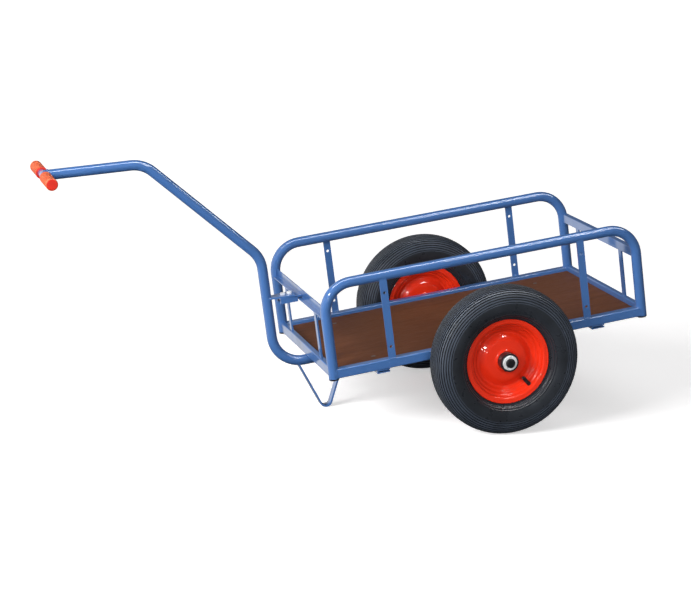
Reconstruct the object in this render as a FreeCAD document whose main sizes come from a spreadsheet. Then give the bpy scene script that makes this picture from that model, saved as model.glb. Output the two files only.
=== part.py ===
import FreeCAD, Part
import math
import os

import Sketcher
from FreeCAD import Placement, Rotation, Vector

# Two-wheeled garden hand cart: a welded tube frame with a plywood deck, a bent drawbar with a T handle,
# a V-shaped prop under the drawbar and two pneumatic wheels that turn on one fixed axle.
#
# Every piece is drawn in the cart's own frame: origin on the axle's centre line, midway between the wheels,
# +X to the rear, +Y to the puller's right, +Z square to the deck. Standing on its wheels and its prop, the
# cart leans nose-down, so one placement tips all pieces by stand_tilt and lifts the axle to the tyre radius.

# Driving dimensions, in millimetres and degrees.
DIMENSIONS = {
    "stand_tilt": 8.5,           # lean of the deck when the cart stands on its prop
    "front_leg": 445,            # axle to the front legs' centre line
    "rear_leg": 431,             # axle to the rear legs' centre line
    "half_frame": 265,           # cart's middle to the side tubes' centre line
    "top_height": 266,           # axle to the top rails' centre line
    "deck_height": 17,           # axle to the underside of the bottom rails
    "tube_diameter": 28,
    "tube_wall": 2,
    "frame_bend": 75,            # bend radius of the side tubes, on the centre line
    "cap_height": 4.5,
    "rail_size": 25,
    "rail_wall": 2,
    "rail_corner": 3,
    "end_rail_width": 15,
    "end_rail_rise": 30,
    "angle_top": 204,            # axle to the top edge of the two end top rails
    "angle_rise": 25,
    "angle_width": 15,
    "angle_wall": 3,
    "angle_inset": 5,            # inner face of an end top rail, inside the legs' centre line
    "strip_width": 20,           # flat bar of all the uprights
    "strip_wall": 5,
    "post_spread": 277,          # side uprights, from the middle of the frame's length
    "end_post_spread": 154,      # end uprights, from the cart's middle
    "hole_diameter": 8,
    "hole_low": 75,
    "hole_high": 222,
    "board_wall": 15,
    "board_gap": 0.5,
    "member_spread": 305,        # cross members, from the middle of the frame's length
    "member_width": 36,
    "member_rise": 9,
    "member_wall": 2.5,
    "screw_spread": 190,
    "screw_diameter": 6,
    "screw_head": 12,
    "screw_sink": 3.1,           # the countersunk heads sit just below the deck's surface
    "handle_reach": 1077,        # axle to the handle's centre line
    "handle_height": 632,
    "knee_reach": 816,           # upper bend of the drawbar
    "knee_height": 616,
    "heel_reach": 538.5,         # upright run of the drawbar
    "hip_height": 308,           # middle bend of the drawbar
    "drawbar_height": 3,         # lower run of the drawbar
    "drawbar_bend": 80,
    "handle_diameter": 22,
    "handle_half": 142,
    "grip_diameter": 32,
    "grip_inner_end": 34,
    "grip_outer_end": 146.5,
    "plate_height": 190.5,
    "plate_wall": 5,
    "plate_reach": 465,
    "plate_narrow": 25,
    "plate_wide": 50,
    "lug_width": 40,
    "lug_reach": 505,
    "lug_rise": 16.5,
    "bolt_diameter": 8,
    "bolt_front": 492,
    "bolt_rear": 474,
    "prop_width": 25,
    "prop_wall": 5,
    "prop_front": 478,           # where the prop's front leg meets the drawbar
    "prop_rear": 342,            # where its rear leg does
    "prop_foot": 415,            # corner point of the V, below the bend
    "prop_depth": 162.27,
    "prop_bend": 15.5,
    "axle_diameter": 20,
    "axle_half": 394,
    "bracket_width": 50,
    "bracket_wall": 20,
    "wheel_spread": 344,         # cart's middle to the middle of each tyre
    "hub_length": 88,
    "hub_diameter": 50,
    "bearing_diameter": 40,
    "bearing_length": 15,
    "running_fit": 0.05,
    "end_float": 0.5,
    "washer_diameter": 39,
    "washer_wall": 3,
    "spacer_diameter": 30,
    "lock_diameter": 25,
    "tyre_diameter": 400,
    "tyre_width": 100,
    "seat_diameter": 203.2,      # bead seat of an 8 inch rim
    "flange_diameter": 229,
    "rim_width": 60,
    "rim_wall": 2.5,
    "well_diameter": 176,
    "dome_rise": 13.5,           # how far each face of the rim bulges at the hub
}

doc = FreeCAD.newDocument("GardenCart")
sheet = doc.addObject("Spreadsheet::Sheet", "Dims")
for row, (alias, size) in enumerate(DIMENSIONS.items(), 1):
    sheet.set(f"A{row}", alias)
    sheet.set(f"B{row}", str(size))
    sheet.setAlias(f"B{row}", alias)
doc.recompute()


def value(expression):
    """The number that an expression over the sheet's aliases gives."""
    result = sheet.evalExpression(bind(expression))
    return float(getattr(result, "Value", result))


def bind(expression):
    """Writes each alias in an expression as Dims.alias."""
    words = str(expression).replace("(", "( ").replace(")", " )").split()
    return " ".join("Dims." + word if word in DIMENSIONS else word for word in words)


# Where the cart stands: the floor is z = 0, and the origin is the middle of the whole cart's floor area.
TILT = Rotation(Vector(0, 1, 0), -value("stand_tilt"))
HANDLE = TILT.multVec(Vector(-value("handle_reach"), 0, value("handle_height")))
HANDLE_END = HANDLE.x - value("grip_diameter / 2")
REAR_FOOT = value("rear_leg + tube_diameter / 2")
REAR_END = TILT.multVec(Vector(REAR_FOOT, 0, value("deck_height - cap_height / 2"))).x
STANDING = Placement(Vector(-(HANDLE_END + REAR_END) / 2, 0, value("tyre_diameter / 2")), TILT)

parts = []


def settle(item, label, x="0", y="0", z="0", turn=Rotation()):
    """Names a finished sub-part and stands it in its place on the cart."""
    item.Label = label
    item.Placement = STANDING.multiply(Placement(Vector(value(x), value(y), value(z)), turn))
    parts.append(item)
    return item


# ---------------------------------------------------------------- sketching helpers

def new_body(name):
    return doc.addObject("PartDesign::Body", name)


def origin_feature(body, role):
    return next(feature for feature in body.Origin.OriginFeatures if feature.Role == role)


def new_sketch(body, plane):
    sketch = body.newObject("Sketcher::SketchObject", body.Name + "Sketch")
    sketch.AttachmentSupport = [(origin_feature(body, plane), "")]
    sketch.MapMode = "FlatFace"
    return sketch


def constrain(sketch, expression, kind, *where):
    """Adds a dimension whose value follows the sheet."""
    index = sketch.addConstraint(Sketcher.Constraint(kind, *where, value(expression)))
    sketch.setExpression(f"Constraints[{index}]", bind(expression))


def pin(sketch, geometry, point, x, y):
    constrain(sketch, x, "DistanceX", -1, 1, geometry, point)
    constrain(sketch, y, "DistanceY", -1, 1, geometry, point)


def add_circle(sketch, x, y, radius):
    circle = Part.Circle(Vector(value(x), value(y), 0), Vector(0, 0, 1), value(radius))
    index = sketch.addGeometry(circle, False)
    constrain(sketch, radius, "Radius", index)
    pin(sketch, index, 3, x, y)


def add_polygon(sketch, corners):
    """A closed outline of straight edges through the corners."""
    points = [Vector(value(x), value(y), 0) for x, y in corners]
    count = len(points)
    sides = [Part.LineSegment(points[k], points[(k + 1) % count]) for k in range(count)]
    edges = [sketch.addGeometry(side, False) for side in sides]
    for k in range(count):
        sketch.addConstraint(Sketcher.Constraint("Coincident", edges[k], 2, edges[(k + 1) % count], 1))
        pin(sketch, edges[k], 1, *corners[k])


def arc_at(corner, before, after, radius):
    """The arc of a radius that rounds a corner: its two ends, the arc, and which way round it runs."""
    back = (before - corner).normalize()
    ahead = (after - corner).normalize()
    half_angle = back.getAngle(ahead) / 2
    start = corner + back * (radius / math.tan(half_angle))
    end = corner + ahead * (radius / math.tan(half_angle))
    centre = corner + (back + ahead).normalize() * (radius / math.sin(half_angle))
    clockwise = back.cross(ahead).z > 0
    first, last = (end, start) if clockwise else (start, end)
    low = math.atan2(first.y - centre.y, first.x - centre.x)
    high = math.atan2(last.y - centre.y, last.x - centre.x)
    if high < low:
        high += 2 * math.pi
    arc = Part.ArcOfCircle(Part.Circle(centre, Vector(0, 0, 1), radius), low, high)
    return start, end, arc, clockwise


def add_rounded(sketch, corners, radius, closed):
    """Straight runs through the corners, with each corner rounded to one radius."""
    points = [Vector(value(x), value(y), 0) for x, y in corners]
    count = len(points)
    turns = range(count) if closed else range(1, count - 1)
    arcs = {k: arc_at(points[k], points[k - 1], points[(k + 1) % count], value(radius)) for k in turns}
    lines = []
    bends = {}
    for k in range(count if closed else count - 1):
        following = (k + 1) % count
        start = arcs[k][1] if k in arcs else points[k]
        end = arcs[following][0] if following in arcs else points[following]
        lines.append(sketch.addGeometry(Part.LineSegment(start, end), False))
        if following in arcs:
            bends[following] = sketch.addGeometry(arcs[following][2], False)
    for k, bend in bends.items():
        entry, leaving = (2, 1) if arcs[k][3] else (1, 2)
        before, after = lines[k - 1], lines[k]
        sketch.addConstraint(Sketcher.Constraint("Tangent", before, 2, bend, entry))
        sketch.addConstraint(Sketcher.Constraint("Tangent", bend, leaving, after, 1))
        constrain(sketch, radius, "Radius", bend)
        mark = sketch.addGeometry(Part.Point(points[k]), True)
        sketch.addConstraint(Sketcher.Constraint("PointOnObject", mark, 1, before))
        sketch.addConstraint(Sketcher.Constraint("PointOnObject", mark, 1, after))
        pin(sketch, mark, 1, *corners[k])
    if not closed:
        pin(sketch, lines[0], 1, *corners[0])
        pin(sketch, lines[-1], 2, *corners[-1])


def add_box_section(sketch, width, rise, wall, corner):
    """A box tube's section about the sketch's origin."""
    for inset, radius in (("0", corner), (wall, f"{corner} - {wall}")):
        half = f"(( {width} ) / 2 - {inset} )"
        tall = f"(( {rise} ) / 2 - {inset} )"
        signs = ((-1, -1), (1, -1), (1, 1), (-1, 1))
        add_rounded(sketch, [(f"{a} * {half}", f"{b} * {tall}") for a, b in signs], radius, True)


def pad(body, sketch, length, both_ways=True):
    feature = body.newObject("PartDesign::Pad", body.Name + "Pad")
    feature.Profile = sketch
    feature.setExpression("Length", bind(length))
    feature.SideType = "Symmetric" if both_ways else "One side"
    return feature


def pocket_circles(body, plane, circles):
    """Cuts round holes right through the body, square to one of its planes."""
    sketch = new_sketch(body, plane)
    for x, y, radius in circles:
        add_circle(sketch, x, y, radius)
    feature = body.newObject("PartDesign::Pocket", body.Name + "Pocket")
    feature.Profile = sketch
    feature.Type = "ThroughAll"
    feature.SideType = "Symmetric"
    return feature


def revolve(body, sketch, axis):
    feature = body.newObject("PartDesign::Revolution", body.Name + "Revolution")
    feature.Profile = sketch
    feature.ReferenceAxis = (origin_feature(body, axis), [""])
    feature.Angle = 360
    return feature


def sweep(body, section, path):
    """Sweeps a section along an open path that starts at the body's origin."""
    doc.recompute()
    feature = body.newObject("PartDesign::AdditivePipe", body.Name + "Pipe")
    feature.Profile = section
    feature.Spine = (path, [f"Edge{k + 1}" for k in range(len(path.Shape.Edges))])
    return feature


def turned_ring(name, half_section):
    """A body turned about its Y axis from a closed half section of (y, radius) corners."""
    body = new_body(name)
    sketch = new_sketch(body, "YZ_Plane")
    add_polygon(sketch, half_section)
    revolve(body, sketch, "Y_Axis")
    return body


def plain_ring(name, bore_radius, outer_radius, length):
    """A straight bush or washer along Y, starting at its origin and running towards +Y."""
    corners = [("0", bore_radius), (length, bore_radius), (length, outer_radius), ("0", outer_radius)]
    return turned_ring(name, corners)


# ---------------------------------------------------------------- side frames

SIDES = {"left": -1, "right": 1}
ENDS = {"front": -1, "rear": 1}
HALF_TURN = Rotation(Vector(0, 0, 1), 180)
LEG_X = {"front": "-1 * front_leg", "rear": "rear_leg"}
SPAN = "( front_leg + rear_leg )"
MIDDLE_X = "( rear_leg - front_leg ) / 2"
TUBE_RADIUS = "tube_diameter / 2"


def side_tube(side, sign):
    """One bent tube: front leg, top rail and rear leg."""
    body = new_body("SideTube" + side.title())
    path = new_sketch(body, "XZ_Plane")
    rise = "top_height - deck_height"
    add_rounded(path, [("0", "0"), ("0", rise), (SPAN, rise), (SPAN, "0")], "frame_bend", False)
    section = new_sketch(body, "XY_Plane")
    add_circle(section, "0", "0", TUBE_RADIUS)
    add_circle(section, "0", "0", f"{TUBE_RADIUS} - tube_wall")
    sweep(body, section, path)
    settle(body, f"side_tube_{side}", LEG_X["front"], f"{sign} * half_frame", "deck_height")


def leg_cap(end, side, sign):
    """Push-in plug that closes the lower end of a leg."""
    body = new_body(f"LegCap{end.title()}{side.title()}")
    sketch = new_sketch(body, "XZ_Plane")
    plug = f"{TUBE_RADIUS} - tube_wall - 0.1"
    corners = [("0", "-1 * cap_height"), (f"{TUBE_RADIUS} - 1.5", "-1 * cap_height"),
               (TUBE_RADIUS, "1.5 - cap_height"), (TUBE_RADIUS, "0"), (plug, "0"), (plug, "12"), ("0", "12")]
    add_polygon(sketch, corners)
    revolve(body, sketch, "Z_Axis")
    settle(body, f"leg_cap_{end}_{side}", LEG_X[end], f"{sign} * half_frame", "deck_height")


def side_rail(side, sign):
    """Square tube between a front and a rear leg, with both ends shaped to the round legs."""
    body = new_body("SideRail" + side.title())
    sketch = new_sketch(body, "YZ_Plane")
    add_box_section(sketch, "rail_size", "rail_size", "rail_wall", "rail_corner")
    pad(body, sketch, SPAN)
    pocket_circles(body, "XY_Plane", [(f"{s} * {SPAN} / 2", "0", TUBE_RADIUS) for s in (-1, 1)])
    settle(body, f"side_rail_{side}", MIDDLE_X, f"{sign} * half_frame", "deck_height + rail_size / 2")


def side_upright(end, side, end_sign, sign):
    """Flat bar from the bottom rail up to the round top rail, with two panel holes."""
    body = new_body(f"SideUpright{end.title()}{side.title()}")
    sketch = new_sketch(body, "XZ_Plane")
    half = "strip_width / 2"
    foot = "deck_height + rail_size"
    outline = [(f"-1 * {half}", foot), (half, foot), (half, "top_height"), (f"-1 * {half}", "top_height")]
    add_polygon(sketch, outline)
    for height in ("hole_low", "hole_high"):
        add_circle(sketch, "0", height, "hole_diameter / 2")
    pad(body, sketch, "strip_wall")
    inwards = f"{-sign} * ( rail_size - strip_wall ) / 2"
    pocket_circles(body, "YZ_Plane", [(inwards, "top_height", TUBE_RADIUS)])
    across = f"{sign} * ( half_frame + ( rail_size - strip_wall ) / 2 )"
    settle(body, f"side_upright_{end}_{side}", f"{MIDDLE_X} + {end_sign} * post_spread", across)


# ---------------------------------------------------------------- end frames

def cope_for_legs(body, leg_x, offset="0"):
    """Shapes both ends of a piece that runs along Y to the two round legs."""
    circles = [(f"{leg_x} - ( {offset} )", f"{s} * half_frame", TUBE_RADIUS) for s in (-1, 1)]
    pocket_circles(body, "XY_Plane", circles)


def end_top_rail(end, sign):
    """Angle between the legs; the flat flange points outwards, low in front and high behind."""
    body = new_body(f"TopRail{end.title()}")
    sketch = new_sketch(body, "XZ_Plane")
    leg = "front_leg" if end == "front" else "rear_leg"
    inner = f"{sign} * ( {leg} - angle_inset )"
    web = f"{sign} * ( {leg} - angle_inset + angle_wall )"
    outer = f"{sign} * ( {leg} - angle_inset + angle_width )"
    low = "angle_top - angle_rise"
    if end == "front":
        corners = [(outer, low), (inner, low), (inner, "angle_top"), (web, "angle_top"),
                   (web, f"{low} + angle_wall"), (outer, f"{low} + angle_wall")]
    else:
        corners = [(inner, low), (web, low), (web, "angle_top - angle_wall"),
                   (outer, "angle_top - angle_wall"), (outer, "angle_top"), (inner, "angle_top")]
    add_polygon(sketch, corners)
    pad(body, sketch, "2 * half_frame")
    cope_for_legs(body, LEG_X[end])
    settle(body, f"{end}_top_rail")


def end_bottom_rail(end):
    """Rectangular tube between the legs, on edge."""
    body = new_body(f"BottomRail{end.title()}")
    sketch = new_sketch(body, "XZ_Plane")
    add_box_section(sketch, "end_rail_width", "end_rail_rise", "rail_wall", "rail_corner")
    pad(body, sketch, "2 * half_frame - rail_size")
    cope_for_legs(body, "0")
    settle(body, f"{end}_bottom_rail", LEG_X[end], "0", "deck_height + end_rail_rise / 2")


def end_upright(end, side, end_sign, sign):
    """Flat bar between an end's bottom rail and its top rail."""
    body = new_body(f"EndUpright{end.title()}{side.title()}")
    sketch = new_sketch(body, "XY_Plane")
    across, thick = "strip_width / 2", "strip_wall / 2"
    add_polygon(sketch, [(f"-1 * {thick}", f"-1 * {across}"), (thick, f"-1 * {across}"), (thick, across),
                         (f"-1 * {thick}", across)])
    top = "angle_top - angle_rise" if end == "front" else "angle_top - angle_wall"
    pad(body, sketch, f"{top} - deck_height - end_rail_rise", False)
    leg = "front_leg" if end == "front" else "rear_leg"
    behind_flange = f"{end_sign} * ( {leg} - angle_inset + angle_wall + strip_wall / 2 )"
    foot = "deck_height + end_rail_rise"
    settle(body, f"end_upright_{end}_{side}", behind_flange, f"{sign} * end_post_spread", foot)


# ---------------------------------------------------------------- deck

MEMBER_X = {end: f"{MIDDLE_X} + {sign} * member_spread" for end, sign in ENDS.items()}


def cross_member(end):
    """Flat channel under the side rails, open to the rear, that carries the board."""
    body = new_body(f"CrossMember{end.title()}")
    sketch = new_sketch(body, "XZ_Plane")
    half = "member_width / 2"
    web = f"member_wall - {half}"
    lower_leg = "member_wall - member_rise"
    corners = [(f"-1 * {half}", "-1 * member_rise"), (half, "-1 * member_rise"), (half, lower_leg),
               (web, lower_leg), (web, "-1 * member_wall"), (half, "-1 * member_wall"), (half, "0"),
               (f"-1 * {half}", "0")]
    add_polygon(sketch, corners)
    pad(body, sketch, "2 * half_frame + rail_size")
    holes = [("0", f"{s} * screw_spread", "screw_diameter / 2 + 0.2") for s in (-1, 1)]
    pocket_circles(body, "XY_Plane", holes)
    settle(body, f"cross_member_{end}", MEMBER_X[end], "0", "deck_height")


def platform_board():
    """Film-faced plywood deck inside the bottom rails, drilled for its four screws."""
    body = new_body("PlatformBoard")
    sketch = new_sketch(body, "XY_Plane")
    front = "-1 * front_leg + end_rail_width / 2 + board_gap"
    rear = "rear_leg - end_rail_width / 2 - board_gap"
    half = "( half_frame - rail_size / 2 - board_gap )"
    add_polygon(sketch, [(front, f"-1 * {half}"), (rear, f"-1 * {half}"), (rear, half), (front, half)])
    for member in MEMBER_X.values():
        for s in (-1, 1):
            add_circle(sketch, member, f"{s} * screw_spread", "screw_diameter / 2 + 0.2")
    pad(body, sketch, "board_wall", False)
    sinks = new_sketch(body, "XY_Plane")
    sinks.AttachmentOffset = Placement(Vector(0, 0, value("board_wall")), Rotation())
    for member in MEMBER_X.values():
        for s in (-1, 1):
            add_circle(sinks, member, f"{s} * screw_spread", "screw_head / 2 + 0.2")
    cut = body.newObject("PartDesign::Pocket", "PlatformBoardSinks")
    cut.Profile = sinks
    cut.setExpression("Length", bind("screw_sink + 0.1"))
    settle(body, "platform_board", "0", "0", "deck_height")


def board_screws():
    """Four countersunk screws through the board and the cross members."""
    screws = []
    for end, member in MEMBER_X.items():
        for s in (-1, 1):
            shank = doc.addObject("Part::Cylinder", f"ScrewShank{end.title()}")
            shank.setExpression("Radius", bind("screw_diameter / 2"))
            shank.setExpression("Height", bind("board_wall + member_rise + 1 - screw_sink"))
            head = doc.addObject("Part::Cone", f"ScrewHead{end.title()}")
            head.setExpression("Radius1", bind("screw_diameter / 2"))
            head.setExpression("Radius2", bind("screw_head / 2"))
            head.setExpression("Height", bind("screw_sink - 0.1"))
            head.Placement.Base.z = value("board_wall + member_rise + 1 - screw_sink")
            screw = doc.addObject("Part::Fuse", f"Screw{end.title()}")
            screw.Base, screw.Tool = shank, head
            screw.Placement.Base = Vector(value(member), value(f"{s} * screw_spread"), 0)
            screws.append(screw)
    group = doc.addObject("Part::Compound", "BoardScrews")
    group.Links = screws
    settle(group, "board_screws", "0", "0", "deck_height - member_rise - 1")


# ---------------------------------------------------------------- drawbar, handle and prop

def drawbar():
    """One bent tube from the T handle down to the front cross member."""
    body = new_body("Drawbar")
    path = new_sketch(body, "XZ_Plane")
    end = f"( -1 * ( {MEMBER_X['front']} ) + member_width / 2 )"
    corners = [("0", "0"), (f"{end} - heel_reach", "0"),
               (f"{end} - heel_reach", "hip_height - drawbar_height"),
               (f"{end} - knee_reach", "knee_height - drawbar_height"),
               (f"{end} - handle_reach", "handle_height - drawbar_height")]
    add_rounded(path, corners, "drawbar_bend", False)
    section = new_sketch(body, "YZ_Plane")
    add_circle(section, "0", "0", TUBE_RADIUS)
    add_circle(section, "0", "0", f"{TUBE_RADIUS} - tube_wall")
    sweep(body, section, path)
    pocket_circles(body, "XZ_Plane", [(*corners[-1], "handle_diameter / 2")])
    settle(body, "drawbar", f"-1 * {end}", "0", "drawbar_height")


def handle_crossbar():
    body = new_body("HandleCrossbar")
    sketch = new_sketch(body, "XZ_Plane")
    add_circle(sketch, "0", "0", "handle_diameter / 2")
    add_circle(sketch, "0", "0", "handle_diameter / 2 - tube_wall")
    pad(body, sketch, "2 * handle_half")
    settle(body, "handle_crossbar", "-1 * handle_reach", "0", "handle_height")


def grip(side):
    """Closed rubber sleeve on one half of the crossbar."""
    bore, skin = "handle_diameter / 2 + running_fit", "grip_diameter / 2"
    rounding = "3"
    half_section = [("grip_inner_end", bore), ("grip_inner_end", f"{skin} - 1"), ("grip_inner_end + 1", skin),
                    (f"grip_outer_end - {rounding}", skin), ("grip_outer_end", f"{skin} - {rounding}"),
                    ("grip_outer_end", "0"), ("handle_half + running_fit", "0"),
                    ("handle_half + running_fit", bore)]
    body = turned_ring(f"Grip{side.title()}", half_section)
    turn = HALF_TURN if side == "left" else Rotation()
    settle(body, f"grip_{side}", "-1 * handle_reach", "0", "handle_height", turn)


BOLT_X = ("-1 * bolt_front", "-1 * bolt_rear")


def drawbar_plate():
    """Tapered plate welded to the drawbar, bolted down on the frame's lug."""
    body = new_body("DrawbarPlate")
    sketch = new_sketch(body, "XY_Plane")
    corners = [("-1 * heel_reach", "-1 * plate_narrow / 2"), ("-1 * plate_reach", "-1 * plate_wide / 2"),
               ("-1 * plate_reach", "plate_wide / 2"), ("-1 * heel_reach", "plate_narrow / 2")]
    add_polygon(sketch, corners)
    pad(body, sketch, "plate_wall", False)
    cuts = [(x, "0", "bolt_diameter / 2 + 0.2") for x in BOLT_X]
    pocket_circles(body, "XY_Plane", [("-1 * heel_reach", "0", TUBE_RADIUS)] + cuts)
    settle(body, "drawbar_plate", "0", "0", "plate_height")


def frame_lug():
    """Folded lug on the front top rail: a flat top with two side flanges that stop short of the rail."""
    body = new_body("FrameLug")
    sketch = new_sketch(body, "XZ_Plane")
    rail_face = "-1 * ( front_leg - angle_inset + angle_wall )"
    flange_end = "-1 * ( front_leg - angle_inset + angle_width + 1 )"
    corners = [("-1 * lug_reach", "-1 * lug_rise"), (flange_end, "-1 * lug_rise"),
               (flange_end, "-1 * plate_wall"), (rail_face, "-1 * plate_wall"), (rail_face, "0"),
               ("-1 * lug_reach", "0")]
    add_polygon(sketch, corners)
    pad(body, sketch, "lug_width")
    channel = new_sketch(body, "YZ_Plane")
    inside = "( lug_width / 2 - plate_wall )"
    add_polygon(channel, [(f"-1 * {inside}", "-1 * lug_rise - 1"), (inside, "-1 * lug_rise - 1"),
                          (inside, "-1 * plate_wall"), (f"-1 * {inside}", "-1 * plate_wall")])
    cut = body.newObject("PartDesign::Pocket", "FrameLugChannel")
    cut.Profile = channel
    cut.Type = "ThroughAll"
    cut.SideType = "Symmetric"
    pocket_circles(body, "XY_Plane", [(x, "0", "bolt_diameter / 2 + 0.2") for x in BOLT_X])
    settle(body, "frame_lug", "0", "0", "plate_height")


def hexagon(name, height):
    prism = doc.addObject("Part::Prism", name)
    prism.Polygon = 6
    prism.setExpression("Circumradius", bind("bolt_diameter * 0.94"))
    prism.setExpression("Height", bind(height))
    return prism


def drawbar_bolts():
    """Two hexagon bolts, heads up, and their nuts below."""
    grip_length = "2 * plate_wall"
    bolts, nuts = [], []
    for x in BOLT_X:
        shank = doc.addObject("Part::Cylinder", "BoltShank")
        shank.setExpression("Radius", bind("bolt_diameter / 2"))
        shank.setExpression("Height", bind(f"{grip_length} + bolt_diameter * 1.1"))
        head = hexagon("BoltHead", "bolt_diameter * 0.66")
        head.Placement.Base.z = value(f"{grip_length} + bolt_diameter * 1.1")
        bolt = doc.addObject("Part::Fuse", "Bolt")
        bolt.Base, bolt.Tool = shank, head
        bolt.Placement.Base.x = value(x)
        bolts.append(bolt)
        bore = doc.addObject("Part::Cylinder", "NutBore")
        bore.setExpression("Radius", bind("bolt_diameter / 2 + 0.05"))
        bore.setExpression("Height", bind("bolt_diameter"))
        nut = doc.addObject("Part::Cut", "Nut")
        nut.Base, nut.Tool = hexagon("NutBody", "bolt_diameter * 0.8"), bore
        nut.Placement.Base.x = value(x)
        nuts.append(nut)
    for name, label, pieces, height in (
        ("DrawbarBolts", "drawbar_bolts", bolts, "plate_height - plate_wall - bolt_diameter * 1.1"),
        ("DrawbarNuts", "drawbar_nuts", nuts, "plate_height - plate_wall - bolt_diameter * 0.8"),
    ):
        group = doc.addObject("Part::Compound", name)
        group.Links = pieces
        settle(group, label, "0", "0", height)


def prop():
    """Flat bar bent to a V, welded under the drawbar's lower run; the cart stands on its bend."""
    body = new_body("Prop")
    front = Vector(-value("prop_front"), 0, 0)
    foot = Vector(-value("prop_foot"), 0, -value("prop_depth"))
    rear = Vector(-value("prop_rear"), 0, 0)
    path = new_sketch(body, "XZ_Plane")
    first_length = (foot - front).Length
    lean = math.atan2(foot.x - front.x, front.z - foot.z)
    to_local = Rotation(Vector(0, 1, 0), math.degrees(lean))
    end = to_local.multVec(rear - front)
    add_rounded(path, [("0", "0"), ("0", f"{-first_length}"), (f"{end.x}", f"{end.z}")], "prop_bend", False)
    section = new_sketch(body, "XY_Plane")
    half, thick = "prop_width / 2", "prop_wall / 2"
    add_polygon(section, [(f"-1 * {thick}", f"-1 * {half}"), (thick, f"-1 * {half}"), (thick, half),
                          (f"-1 * {thick}", half)])
    sweep(body, section, path)
    top = doc.addObject("Part::Cylinder", "PropCope")
    top.setExpression("Radius", bind(TUBE_RADIUS))
    top.setExpression("Height", bind("front_leg"))
    top.Placement = Placement(Vector(-value("front_leg + 100"), 0, value("drawbar_height")),
                              Rotation(Vector(0, 1, 0), 90))
    body.Placement = Placement(front, to_local.inverted())
    coped = doc.addObject("Part::Cut", "PropCoped")
    coped.Base, coped.Tool = body, top
    settle(coped, "prop")


# ---------------------------------------------------------------- axle and wheels

def axle_bracket(side, sign):
    """Block under a side rail that holds the fixed axle."""
    body = new_body("AxleBracket" + side.title())
    sketch = new_sketch(body, "XZ_Plane")
    half = "bracket_width / 2"
    add_rounded(sketch, [(f"-1 * {half}", "deck_height"), (f"-1 * {half}", "-1 * axle_diameter"),
                         (half, "-1 * axle_diameter"), (half, "deck_height")], "8", True)
    add_circle(sketch, "0", "0", "axle_diameter / 2")
    pad(body, sketch, "bracket_wall")
    settle(body, f"axle_bracket_{side}", "0", f"{sign} * half_frame")


def axle():
    body = new_body("Axle")
    sketch = new_sketch(body, "XZ_Plane")
    add_circle(sketch, "0", "0", "axle_diameter / 2")
    pad(body, sketch, "2 * axle_half")
    settle(body, "axle")


def axle_fittings(side, turn):
    """Spacer inside the hub, washer and cap outside it; drawn for the right wheel, turned for the left."""
    inner_end = "( half_frame + bracket_wall / 2 )"
    hub_inner = "( wheel_spread - hub_length / 2 )"
    hub_outer = "( wheel_spread + hub_length / 2 + end_float )"
    bore = "axle_diameter / 2"

    def place(body, label, y):
        offset = turn.multVec(Vector(0, value(y), 0)).y
        settle(body, label, "0", f"{offset}", "0", turn)

    name = side.title()
    spacer_length = f"{hub_inner} - end_float - {inner_end}"
    spacer = plain_ring("Spacer" + name, bore, "spacer_diameter / 2", spacer_length)
    place(spacer, f"axle_spacer_{side}", inner_end)
    washer = plain_ring("Washer" + name, bore, "washer_diameter / 2", "washer_wall")
    place(washer, f"hub_washer_{side}", hub_outer)
    lock = "lock_diameter / 2"
    stub = f"( axle_half - {hub_outer} - washer_wall )"
    half_section = [("0", bore), ("0", lock), (f"{stub} + 1", lock), (f"{stub} + 3", f"{lock} - 4"),
                    (f"{stub} + 3", "0"), (stub, "0"), (stub, bore)]
    place(turned_ring("Lock" + name, half_section), f"axle_cap_{side}", f"{hub_outer} + washer_wall")


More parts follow.
